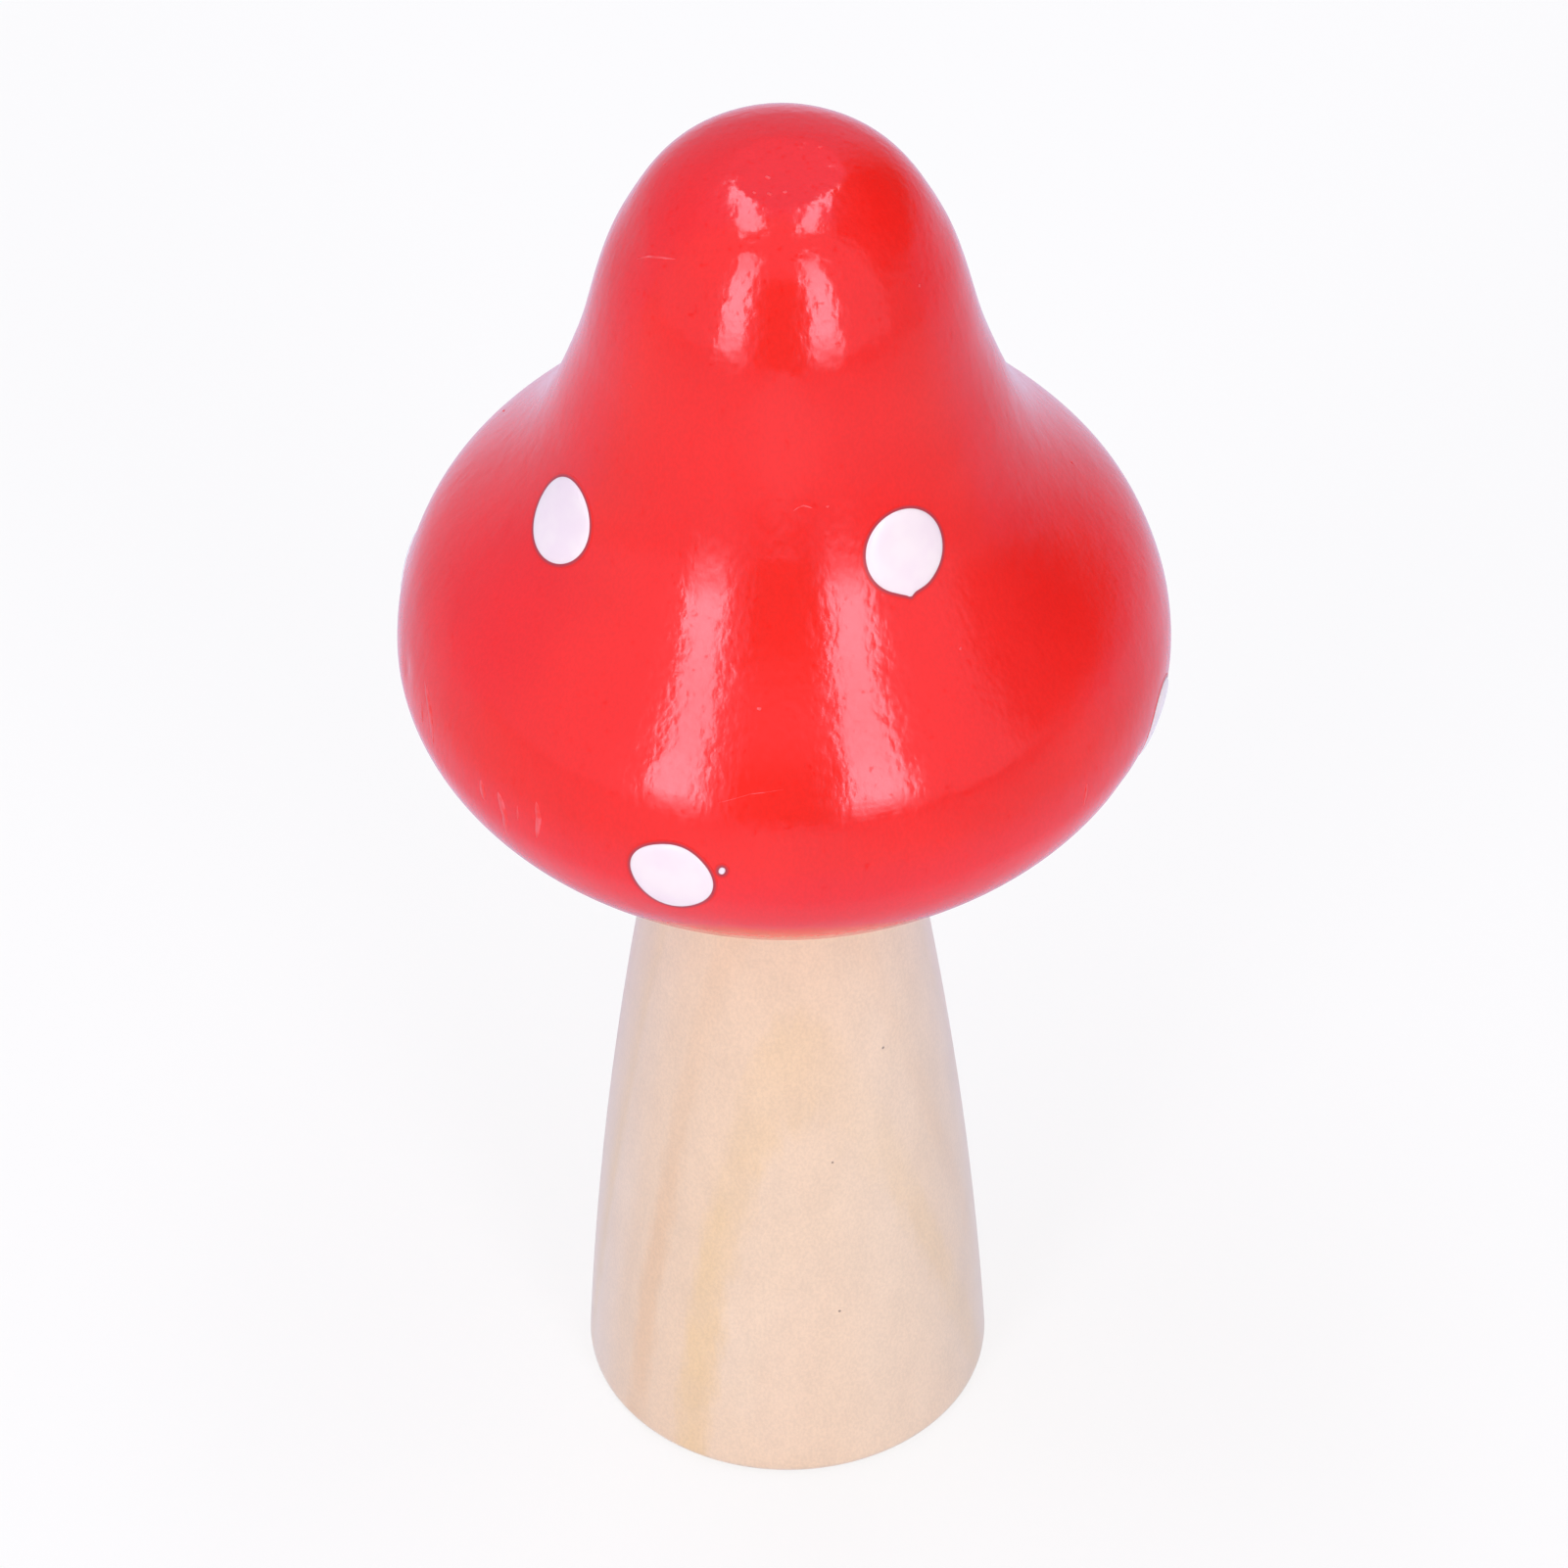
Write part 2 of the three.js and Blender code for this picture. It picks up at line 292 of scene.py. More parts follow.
# Surfaces: the scale of each pattern is in features per millimetre, and its bump is a depth. Most of a
# noise lies within NOISE_SPAN, and the edges are the noise values between which a pattern sets in
NOISE_MIDDLE, NOISE_SPAN = 0.5, (0.3, 0.7)
LACQUER_IOR = 1.6
LACQUER_ROUGHNESS = (0.12, 0.16)
LACQUER_MOTTLE_SCALE = 0.09
FLOW_SCALE, FLOW_BUMP = 0.45, 0.04 * MM
STREAK_STRETCH, STREAK_SCALE, STREAK_BUMP = (1, 1, 0.12), 1.4, 0.012 * MM
CURL_STRETCH, CURL_SCALE, CURL_BUMP = (1, 1, 0.4), 2.7, 0.0125 * MM
FINE_STRETCH, FINE_SCALE, FINE_BUMP = (1, 1, 0.6), 6.0, 0.003 * MM
FINE_SHADE = (0.97, 1.03)
LATHE_SCALE, LATHE_DISTORTION, LATHE_BUMP = 0.9, 2.0, 0.001 * MM
LATHE_PATCH_SCALE, LATHE_PATCH_EDGES = 0.15, (0.45, 0.65)
# Pits in the lacquer: where the noise makes them, and their stain and lower gloss
PIT_STRETCH, PIT_SCALE, PIT_EDGES = (1, 1, 0.7), 3.2, (0.65, 0.78)
PIT_STAIN = 0.08
SPECULAR_PLAIN, SPECULAR_PIT = 0.5, 0.28
# Heights in millimetres over which the crown's end grain comes through, and the pits it adds
CROWN_GRAIN_HEIGHTS = (88.0, 96.0)
CROWN_PITTING = 0.035
END_GRAIN_SCALE, END_GRAIN_BUMP = 1.7, 0.02 * MM
SCUFF_SCALE, SCUFF_EDGES, SCUFF_ROUGHNESS = 1.8, (0.35, 0.65), (0.28, 0.42)
SCUFF_GRAIN_SCALE, SCUFF_BUMP = 6.0, 0.004 * MM
PAINT_CLOUD_SCALE, PAINT_ROUGHNESS = 0.5, (0.16, 0.26)
PAINT_BUMP_SCALE, PAINT_BUMP = 1.2, 0.01 * MM
# Shares of the brim's width at which the white ends and the dark stain and painted shade fade into the
# lacquer
BRIM_WHITE_END, BRIM_STAIN_AND_SHADE_FADE = 0.12, 0.25
SPECKLE_STRETCH, SPECKLE_SCALE, SPECKLE_BUMP = (1, 1, 0.7), 5.5, 0.006 * MM
SPECKLE_SHADE = (0.955, 1.045)
CLOUD_STRETCH, CLOUD_SCALE, CLOUD_SHADE = (1, 1, 0.5), 0.5, (0.975, 1.025)
WOOD_NOISE_ROUGHNESS = 0.6
WOOD_ROUGHNESS = (0.5, 0.65)
WOOD_SPECULAR = 0.1
WOOD_COAT_ROUGHNESS, WOOD_COAT_IOR = 0.3, 1.6
WOOD_SHEEN, WOOD_SHEEN_ROUGHNESS = 0.85, 0.3
WOOD_SPECK_CORE, WOOD_SPECK_STRENGTH = 0.5, 0.8
BEECH_STRETCH, BEECH_SCALE, BEECH_EDGES = (1.6, 0.3, 0.05), 1.1, (0.35, 0.65)
BEECH_FLECK_STRETCH, BEECH_FLECK_SCALE = (1, 1, 0.3), 2.4
BEECH_FLECK_EDGES, BEECH_FLECK_STRENGTH = (0.62, 0.72), 0.5
BEECH_ROUGHNESS = (0.6, 0.75)
BEECH_BUMP_SCALE, BEECH_BUMP = 2.0, 0.01 * MM

# The stem's growth rings, in millimetres: the pith's place at the foot, how it leans with height, how the
# rings bow away from one height, and the wood's colour at each distance from the pith
PITH = (-0.92, 2.6)
PITH_LEAN = (0.007, 0.066)
RING_BOW, RING_BOW_MIDDLE = 0.0009, 13.3
RING_REACH = 17.0
RING_COLOURS = [
    (0.0, WOOD_CREAM), (4.8, WOOD_CREAM), (5.5, WOOD_TAN), (5.7, WOOD_PALE),
    (7.0, WOOD_CREAM), (7.6, WOOD_RUSSET), (7.8, WOOD_CREAM),
    (9.0, WOOD_CREAM), (9.6, WOOD_TAN), (9.8, WOOD_PALE),
    (10.7, WOOD_CREAM), (11.2, WOOD_RUSSET), (11.4, WOOD_CREAM),
    (12.2, WOOD_CREAM), (12.6, WOOD_TAN), (12.8, WOOD_PALE), (13.3, WOOD_PALE),
    (13.6, WOOD_CREAM), (13.9, WOOD_CREAM), (14.05, WOOD_RUSSET), (14.22, WOOD_RUSSET), (14.4, WOOD_CREAM),
    (14.74, WOOD_CREAM), (14.86, WOOD_TAN), (15.06, WOOD_TAN), (15.2, WOOD_PALE),
    (15.42, WOOD_PALE), (15.6, WOOD_PINK), (17.0, WOOD_PINK),
]
# How unevenly the rings run: stretch, scale and amount of a slow and a ragged wander
RING_SLOW = ((1, 1, 0.4), 0.3, 0.18)
RING_RAGGED = ((1, 1, 0.25), 1.6, 0.2)
# Where the rings show: in patches, and less to the right and higher up
RING_PATCH_STRETCH, RING_PATCH_SCALE, RING_PATCH_EDGES = (1, 1, 0.6), 0.2, (0.36, 0.56)
RING_PATCH_LEAST = 0.6
RING_FADE_ACROSS, RING_FADE_UP, RING_FADED = (-2.0, 6.0), (16.0, 30.0), 0.5
# Painted light: between these distances across, in millimetres, the wood is painted lighter towards the
# right to make up for the light lost there
WOOD_PAINTED_LIGHT_ACROSS = (1.0, 7.0)
# Dark specks in the stem, by place and radius in millimetres
WOOD_SPECKS = [
    ((3.53, -11.45, 13.85), 0.14),
    ((6.22, -7.52, 33.5), 0.13),
    ((3.05, -10.28, 26.1), 0.10),
]


# Outlines

def cubic(start, pull_start, pull_end, end):
    t = np.linspace(0, 1, CURVE_STEPS + 1)[:, None]
    inner = 3 * (1 - t) ** 2 * t * pull_start + 3 * (1 - t) * t ** 2 * pull_end
    return (1 - t) ** 3 * start + inner + t ** 3 * end


def run_along(points):
    """How far along a line each of its points is."""
    return np.concatenate([[0], np.cumsum(np.linalg.norm(np.diff(points, axis=0), axis=1))])


def straight(start, end, rows):
    return np.linspace(start, end, rows + 1)


def outward(outline):
    """Unit normals of an outline that runs upwards on its outer side."""
    along = np.gradient(outline, axis=0)
    along /= np.linalg.norm(along, axis=1)[:, None]
    return np.column_stack([along[:, 1], -along[:, 0]])


def cap_outline():
    """The cap's outer side as (radius, height) points, from the edge of its underside to its top."""
    base = CAP_LOW.z
    under = np.array([UNDERSIDE_RADIUS, base])
    rim = np.array([CAP_RADIUS, base + RIM_HEIGHT])
    neck = np.array([NECK_RADIUS, base + NECK_HEIGHT])
    top = np.array([0, CAP_HIGH.z])
    out, up = np.array([1, 0]), np.array([0, 1])
    downhill = np.array([math.cos(NECK_SLOPE), -math.sin(NECK_SLOPE)])
    rounding = np.linalg.norm(rim - under)
    bell = np.linalg.norm(neck - rim)
    crown = np.linalg.norm(top - neck)
    under_pull = under + UNDERSIDE_FULLNESS * rounding * out
    rim_pull_down = rim - UNDER_RIM_FULLNESS * rounding * up
    rim_pull_up = rim + BELL_RIM_FULLNESS * bell * up
    neck_pull_down = neck + BELL_NECK_FULLNESS * bell * downhill
    neck_pull_up = neck - CROWN_SIDE_FULLNESS * crown * downhill
    top_pull = top + CROWN_TOP_FULLNESS * crown * out
    line = np.vstack([
        cubic(under, under_pull, rim_pull_down, rim),
        cubic(rim, rim_pull_up, neck_pull_down, neck)[1:],
        cubic(neck, neck_pull_up, top_pull, top)[1:],
    ])
    trim = 0
    for height, spread, depth in CAP_TRIM:
        trim = trim + depth * np.exp(-((line[:, 1] / MM - height) / spread) ** 2)
    line = line + outward(line) * trim[:, None] * MM
    run = run_along(line)
    crown_start = run[-1] - CROWN_RUN
    rows = np.linspace(0, crown_start, CAP_ROWS + 1)
    crown_rows = np.linspace(crown_start, run[-1], CROWN_ROWS + 1)
    at = np.concatenate([rows, crown_rows[1:]])
    return np.column_stack([np.interp(at, run, line[:, k]) for k in (0, 1)])


def stem_outline():
    """The stem's outer side, from the edge of its foot's flat to its top."""
    angles = np.linspace(-math.pi / 2, 0, EDGE_ROWS + 1)
    edge = np.column_stack([
        FOOT_RADIUS - FOOT_EDGE_RADIUS + FOOT_EDGE_RADIUS * np.cos(angles),
        FOOT_EDGE_RADIUS + FOOT_EDGE_RADIUS * np.sin(angles),
    ])
    t = np.linspace(0, 1, STEM_ROWS + 1)
    taper = FOOT_RADIUS + (STEM_TOP_RADIUS - FOOT_RADIUS) * t
    flank = np.column_stack([
        taper + 4 * STEM_BELLY * t * (1 - t),
        FOOT_EDGE_RADIUS + (STEM_HIGH.z - FOOT_EDGE_RADIUS) * t,
    ])
    return np.vstack([edge, flank[1:]])


CAP_LINE = cap_outline()
CAP_NORMAL = outward(CAP_LINE)
CAP_RUN = run_along(CAP_LINE)


def run_at(height):
    """The distance up the cap's outline at a height; the outline never turns down again."""
    return np.interp(height, CAP_LINE[:, 1], CAP_RUN)


# The cap's surface

def smoothstep(low, high, value):
    t = np.clip((value - low) / (high - low), 0, 1)
    return t * t * (3 - 2 * t)


def swing(turn, centre):
    """The angle from one turn to another, the short way round."""
    return (turn - centre + math.pi) % (2 * math.pi) - math.pi


def flat_relief(turn, radius):
    """The flat sanded on the crown: the surface is planed down inside an uneven round edge."""
    across = (radius * np.sin(turn) - FLAT_MIDDLE[0]) / FLAT_HALF[0]
    along = (-radius * np.cos(turn) - FLAT_MIDDLE[1]) / FLAT_HALF[1]
    angle = np.arctan2(along, across)
    ragged = sum(amount * np.sin(order * angle + phase) for order, amount, phase in FLAT_RAGGED)
    ragged = ragged * smoothstep(FLAT_RAGGED_START, FLAT_RAGGED_FULL, np.hypot(across, along))
    inside = 1 - across ** 2 - along ** 2 + ragged
    return -FLAT_DEPTH * FLAT_SOFTNESS * np.logaddexp(0, inside / FLAT_SOFTNESS)


def cap_relief(turn, radius, height):
    """How far the cap's surface stands off its smooth outline: slow waves, the sanded flat and dents."""
    swell = np.sin(SWELL_LOBES * turn + height / SWELL_TWIST) * np.sin(height / SWELL_PITCH)
    ripple = np.sin(height / RIPPLE_PITCH + RIPPLE_TWIST * turn)
    ripple = ripple * np.sin(RIPPLE_LOBES * turn + RIPPLE_PHASE)
    waves = SWELL_DEPTH * swell + RIPPLE_DEPTH * ripple
    relief = waves * smoothstep(WAVES_START_RADIUS, WAVES_FULL_RADIUS, radius) + flat_relief(turn, radius)
    for dent_turn, dent_height, dent_radius, depth in DENTS:
        away = np.hypot(swing(turn, math.radians(dent_turn)) * radius, height - dent_height * MM)
        relief = relief - depth * MM * np.exp(-(away / (dent_radius * MM)) ** 2)
    return relief * smoothstep(CAP_LOW.z, CAP_LOW.z + RELIEF_FADE, height)


def crown_shift(height):
    """How far the leaning crown stands to the side at a height."""
    return CROWN_SHIFT * smoothstep(CROWN_SHIFT_START, CROWN_SHIFT_END, height)


def on_cap(turn, run, lift):
    """Points on the cap at turns from the front and distances up the outline, raised by lift."""
    radius, height = (np.interp(run, CAP_RUN, CAP_LINE[:, k]) for k in (0, 1))
    normal_out, normal_up = (np.interp(run, CAP_RUN, CAP_NORMAL[:, k]) for k in (0, 1))
    raised = lift + cap_relief(turn, radius, height)
    radius = radius + normal_out * raised
    height = height + normal_up * raised
    across = radius * np.sin(turn) + crown_shift(height)
    return np.column_stack([across, -radius * np.cos(turn), height])


# Meshes

def mesh_object(name, points, faces):
    mesh = bpy.data.meshes.new(name)
    mesh.from_pydata([tuple(p) for p in points], [], faces)
    mesh.update()
    mesh.shade_smooth()
    mesh.set_sharp_from_angle(angle=SHARP_ANGLE)
    piece = bpy.data.objects.new(name, mesh)
    bpy.context.scene.collection.objects.link(piece)
    return piece


def band(low, high, count, closed=True):
    """Quads between two rows of points that start at the given indices."""
    step = np.arange(count if closed else count - 1)
    after = (step + 1) % count
    return np.column_stack([low + step, low + after, high + after, high + step]).tolist()


def fan(centre, row, count):
    """Triangles from a point to a closed row of points."""
    step = np.arange(count)
    after = (step + 1) % count
    return np.column_stack([np.full(count, centre), row + step, row + after]).tolist()


def turned_mesh(name, outline, relief=None):
    """A closed mesh turned about Z from an outline that starts and ends on the axis, outer side upwards."""
    rings = outline[1:-1]
    normals = outward(outline)[1:-1]
    turn = np.tile(np.linspace(0, 2 * math.pi, ROUND_STEPS, endpoint=False), len(rings))
    radius, height = (np.repeat(rings[:, k], ROUND_STEPS) for k in (0, 1))
    if relief is not None:
        raised = relief(turn, radius, height)
        radius = radius + np.repeat(normals[:, 0], ROUND_STEPS) * raised
        height = height + np.repeat(normals[:, 1], ROUND_STEPS) * raised
    around = np.column_stack([radius * np.sin(turn), -radius * np.cos(turn), height])
    last_row = (len(rings) - 1) * ROUND_STEPS
    start = np.array([[0, 0, outline[0, 1]]])
    end = np.array([[0, 0, around[last_row:, 2].mean()]])
    faces = []
    for row in range(0, last_row, ROUND_STEPS):
        faces += band(row, row + ROUND_STEPS, ROUND_STEPS)
    faces += [face[::-1] for face in fan(len(around), 0, ROUND_STEPS)]
    faces += fan(len(around) + 1, last_row, ROUND_STEPS)
    return mesh_object(name, np.vstack([around, start, end]), faces)


def make_cap():
    base = CAP_LOW.z
    socket = np.vstack([
        straight((0, SOCKET_TOP), (SOCKET_RADIUS, SOCKET_TOP), FLAT_ROWS),
        straight((SOCKET_RADIUS, SOCKET_TOP), (SOCKET_RADIUS, base), FLAT_ROWS)[1:],
        straight((SOCKET_RADIUS, base), (UNDERSIDE_RADIUS, base), FLAT_ROWS)[1:],
    ])
    inside = len(socket) - 2

    def relief(turn, radius, height):
        raised = cap_relief(turn, radius, height)
        raised[:inside * ROUND_STEPS] = 0
        return raised

    cap = turned_mesh("cap_lacquered", np.vstack([socket[:-1], CAP_LINE]), relief)
    for vertex in cap.data.vertices:
        vertex.co.x += crown_shift(vertex.co.z)
    return cap


def make_stem():
    top = STEM_HIGH.z
    outer = stem_outline()
    line = np.vstack([
        straight((0, 0), (outer[0, 0], 0), FLAT_ROWS)[:-1],
        outer,
        straight((STEM_TOP_RADIUS, top), (SOCKET_RADIUS, top), FLAT_ROWS)[1:],
        straight((SOCKET_RADIUS, top), (SOCKET_RADIUS, SOCKET_BOTTOM), FLAT_ROWS)[1:],
        straight((SOCKET_RADIUS, SOCKET_BOTTOM), (0, SOCKET_BOTTOM), FLAT_ROWS)[1:],
    ])
    stem = turned_mesh("stem_turned", line)
    for vertex in stem.data.vertices:
        vertex.co.x += max(STEM_FOOT_SHIFT - STEM_LEAN * vertex.co.z, STEM_TOP_SHIFT)
    return stem


def dot_reach(shape, angle):
    """A dot's outline: its radius in each direction, in metres."""
    radius, waves, kinks = shape
    reach = np.full_like(angle, radius)
    for order, amount, direction in waves:
        reach += amount * np.cos(order * (angle - math.radians(direction)))
    for direction, amount, spread in kinks:
        reach += amount * np.exp(-(swing(angle, math.radians(direction)) / math.radians(spread)) ** 2)
    return reach * MM


def dab_parts(turn, run, shape, paint_height, brim_width=BRIM_WIDTH):
    """The points, faces and brim shares of a low dome on the cap, with a steep edge, closed beneath."""
    angle = np.linspace(0, 2 * math.pi, DOT_SPOKES, endpoint=False)
    reach = dot_reach(shape, angle)
    girth = np.interp(run, CAP_RUN, CAP_LINE[:, 0])

    def ring(away, lift):
        return on_cap(turn + away * np.cos(angle) / girth, run + away * np.sin(angle), lift)

    middle = on_cap(np.array([turn]), np.array([run]), paint_height)
    rings = []
    for share in DOT_RINGS:
        dome = paint_height * math.sqrt(1 - share ** DOT_DOME_POWER)
        rings.append(ring(share * reach, max(dome, BRIM_HEIGHT)))
    rings += [ring(reach + share * brim_width, BRIM_HEIGHT) for share in BRIM_RINGS]
    rings.append(ring(reach + brim_width, -PAINT_SINK))
    under = on_cap(np.array([turn]), np.array([run]), -PAINT_SINK)
    points = np.vstack([*rings, middle, under])
    last_row = (len(rings) - 1) * DOT_SPOKES
    faces = fan(len(points) - 2, 0, DOT_SPOKES)
    for row in range(0, last_row, DOT_SPOKES):
        faces += band(row + DOT_SPOKES, row, DOT_SPOKES)
    faces += [face[::-1] for face in fan(len(points) - 1, last_row, DOT_SPOKES)]
    brim = [0] * len(DOT_RINGS) + [*BRIM_RINGS, 1.0]
    shares = np.concatenate([np.repeat(brim, DOT_SPOKES), [0, 0]])
    return points, faces, shares


def make_dab(name, turn, run, shape, paint_height):
    points, faces, shares = dab_parts(turn, run, shape, paint_height)
    dab = mesh_object(name, points, faces)
    brim = dab.data.attributes.new("brim", "FLOAT", "POINT")
    brim.data.foreach_set("value", shares.astype(np.float32))
    return dab


def make_dots():
    dabs = {}
    for node, shape in DOT_SHAPES.items():
        low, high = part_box(node)
        middle = (low + high) / 2
        turn = math.atan2(middle.x, -middle.y)
        away = np.hypot(CAP_LINE[:, 0] - math.hypot(middle.x, middle.y), CAP_LINE[:, 1] - middle.z)
        run = CAP_RUN[np.argmin(away)]
        dabs[node] = make_dab(node.replace("dot", "paint"), turn, run, shape, PAINT_HEIGHT)
    return dabs


def mark_points(line, half_width, height):
    """Rows of points for a low ridge along a line on the cap, thin at both ends, its edges sunk in."""
    t = np.linspace(0, 1, MARK_STEPS + 1)
    given = np.linspace(0, 1, len(line))
    turn = np.radians(np.interp(t, given, [p[0] for p in line]))
    run = run_at(np.interp(t, given, [p[1] for p in line]) * MM)
    girth = np.interp(run, CAP_RUN, CAP_LINE[:, 0])
    along = np.column_stack([np.gradient(turn) * girth, np.gradient(run)])
    along /= np.linalg.norm(along, axis=1)[:, None]
    swell = np.sqrt(np.clip(np.sin(math.pi * t), MARK_END, 1))
    sides = []
    for across, rise in MARK_SECTION:
        shift = across * half_width * MM * swell
        lift = rise * height * MM * swell - (rise == 0) * PAINT_SINK
        sides.append(on_cap(turn + along[:, 1] * shift / girth, run - along[:, 0] * shift, lift))
    return np.stack(sides, axis=1)


def make_marks():
    """All raised grain, scratches and dust in the lacquer, as closed low ridges and domes in one piece."""
    points, faces = [], []
    count = len(MARK_SECTION)
    for line, half_width, height in [*RAISED_GRAIN, *SCRATCHES]:
        base = sum(len(p) for p in points)
        points.append(mark_points(line, half_width, height).reshape(-1, 3))
        last_row = base + MARK_STEPS * count
        for low in range(base, last_row, count):
            faces += band(low, low + count, count)
        faces.append(list(range(base + count - 1, base - 1, -1)))
        faces.append(list(range(last_row, last_row + count)))
    for turn, height, radius in DUST:
        base = sum(len(p) for p in points)
        shape = (radius, [(2, DUST_OVAL * radius, turn), (3, DUST_LOBES * radius, DUST_LOBES_TURN)], [])
        rise = DUST_HEIGHT * radius * MM
        dome, dome_faces, _ = dab_parts(math.radians(turn), run_at(height * MM), shape, rise, DUST_BRIM)
        points.append(dome)
        faces += [[base + k for k in face] for face in dome_faces]
    return mesh_object("lacquer_marks", np.vstack(points), faces)


# Materials

def to_radians(degrees):
    return tuple(math.radians(angle) for angle in degrees)


class Nodes:
    """A material's or world's node tree, with one short call for each node."""

    def __init__(self, name, world=None):
        self.material = world or bpy.data.materials.new(name)
        self.material.use_nodes = True
        self.tree = self.material.node_tree
        self.shader = self.tree.nodes.get("Principled BSDF")

    def add(self, kind, settings=None, **inputs):
        node = self.tree.nodes.new(kind)
        for key, value in (settings or {}).items():
            setattr(node, key, value)
        for key, value in inputs.items():
            self.set(node, int(key[1:]) if key[1:].isdigit() else key, value)
        return node

    def set(self, node, key, value):
        if isinstance(value, bpy.types.NodeSocket):
            self.tree.links.new(value, node.inputs[key])
        else:
            node.inputs[key].default_value = value

    def millimetres(self, stretch=(1, 1, 1)):
        """The object's own coordinates in millimetres, each times its stretch."""
        place = self.add("ShaderNodeTexCoord").outputs["Object"]
        scale = tuple(s / MM for s in stretch)
        return self.add("ShaderNodeVectorMath", {"operation": "MULTIPLY"}, i0=place, i1=scale).outputs[0]

    def noise(self, vector, scale, detail=2.0, roughness=0.5):
        node = self.add("ShaderNodeTexNoise", Vector=vector, Scale=scale, Detail=detail, Roughness=roughness)
        return node.outputs[0]

    def wander(self, stretch, scale, amount):
        """A noise that strays to both sides of nothing."""
        noise = self.noise(self.millimetres(stretch), scale, detail=2.0)
        return self.math("MULTIPLY", self.math("SUBTRACT", noise, NOISE_MIDDLE), amount)

    def math(self, operation, first, second=0.0):
        return self.add("ShaderNodeMath", {"operation": operation}, i0=first, i1=second).outputs[0]

    def remap(self, value, low, high, to_low=0.0, to_high=1.0):
        node = self.add("ShaderNodeMapRange", {"interpolation_type": "SMOOTHSTEP"}, Value=value)
        for key, number in zip(("From Min", "From Max", "To Min", "To Max"), (low, high, to_low, to_high)):
            node.inputs[key].default_value = number
        return node.outputs[0]

    def window(self, value, bounds, blurs):
        """One between two angles and nothing outside them, with soft edges, in degrees."""
        low, high = to_radians(bounds)
        low_blur, high_blur = to_radians(blurs)
        rising = self.remap(value, low - low_blur, low + low_blur)
        falling = self.remap(value, high - high_blur, high + high_blur, 1.0, 0.0)
        return self.math("MULTIPLY", rising, falling)

    def mix(self, factor, first, second):
        """A blend of two colours."""
        node = self.add("ShaderNodeMix", {"data_type": "RGBA"}, i0=factor, i6=first, i7=second)
        return node.outputs[2]

    def choose(self, factor, first, second):
        """A blend of two numbers."""
        node = self.add("ShaderNodeMix", {"data_type": "FLOAT"}, i0=factor, i2=first, i3=second)
        return node.outputs[0]

    def shade(self, colour, factor):
        """A colour made darker or lighter by a factor."""
        return self.add("ShaderNodeVectorMath", {"operation": "SCALE"}, i0=colour, Scale=factor).outputs[0]

    def ramp(self, value, stops):
        node = self.add("ShaderNodeValToRGB", Fac=value)
        elements = node.color_ramp.elements
        while len(elements) < len(stops):
            elements.new(1.0)
        for element, (position, colour) in zip(elements, stops):
            element.position = position
            element.color = colour
        return node.outputs[0]

    def bump(self, height, distance, normal=None):
        node = self.add("ShaderNodeBump", Height=height, Distance=distance)
        if normal is not None:
            self.set(node, "Normal", normal)
        return node.outputs[0]


def red_lacquer():
    """Gloss red over wood: the grain's curls, small pits and faint lathe rings break up what it mirrors."""
    n = Nodes("red_lacquer")
    place = n.millimetres()
    flow = n.noise(place, FLOW_SCALE, detail=1.0)
    streaks = n.noise(n.millimetres(STREAK_STRETCH), STREAK_SCALE, detail=1.0)
    curls = n.noise(n.millimetres(CURL_STRETCH), CURL_SCALE, detail=0.7)
    fine = n.noise(n.millimetres(FINE_STRETCH), FINE_SCALE, detail=1.0)
    height = n.add("ShaderNodeSeparateXYZ", Vector=place).outputs["Z"]
    crown = n.remap(height, *CROWN_GRAIN_HEIGHTS)
    pitted = n.noise(n.millimetres(PIT_STRETCH), PIT_SCALE, detail=1.0)
    pitted = n.math("ADD", pitted, n.math("MULTIPLY", crown, CROWN_PITTING))
    pits = n.remap(pitted, *PIT_EDGES)
    end_grain = n.math("MULTIPLY", n.noise(place, END_GRAIN_SCALE, detail=0.3), crown)
    lathe = n.add("ShaderNodeTexWave", {"bands_direction": "Z"}, Vector=place, Scale=LATHE_SCALE)
    n.set(lathe, "Distortion", LATHE_DISTORTION)
    n.set(lathe, "Detail", 1.0)
    patches = n.remap(n.noise(place, LATHE_PATCH_SCALE, detail=1.0), *LATHE_PATCH_EDGES)
    turned = n.math("MULTIPLY", lathe.outputs[1], patches)
    normal = n.bump(flow, FLOW_BUMP)
    normal = n.bump(streaks, STREAK_BUMP, normal)
    normal = n.bump(curls, CURL_BUMP, normal)
    normal = n.bump(fine, FINE_BUMP, normal)
    normal = n.bump(turned, LATHE_BUMP, normal)
    normal = n.bump(end_grain, END_GRAIN_BUMP, normal)
    mottle = n.noise(place, LACQUER_MOTTLE_SCALE, detail=2.0)
    red = n.mix(n.remap(mottle, *NOISE_SPAN), LACQUER_DEEP, LACQUER_BRIGHT)
    red = n.shade(red, n.remap(fine, *NOISE_SPAN, *FINE_SHADE))
    red = n.mix(n.math("MULTIPLY", pits, PIT_STAIN), red, LACQUER_PORE)
    n.set(n.shader, "Base Color", red)
    n.set(n.shader, "Roughness", n.remap(curls, *NOISE_SPAN, *LACQUER_ROUGHNESS))
    n.set(n.shader, "Specular IOR Level", n.remap(pits, 0.0, 1.0, SPECULAR_PLAIN, SPECULAR_PIT))
    n.set(n.shader, "Normal", normal)
    n.set(n.shader, "IOR", LACQUER_IOR)
    n.set(n.shader, "Specular Tint", LACQUER_GLINT)
    return n.material


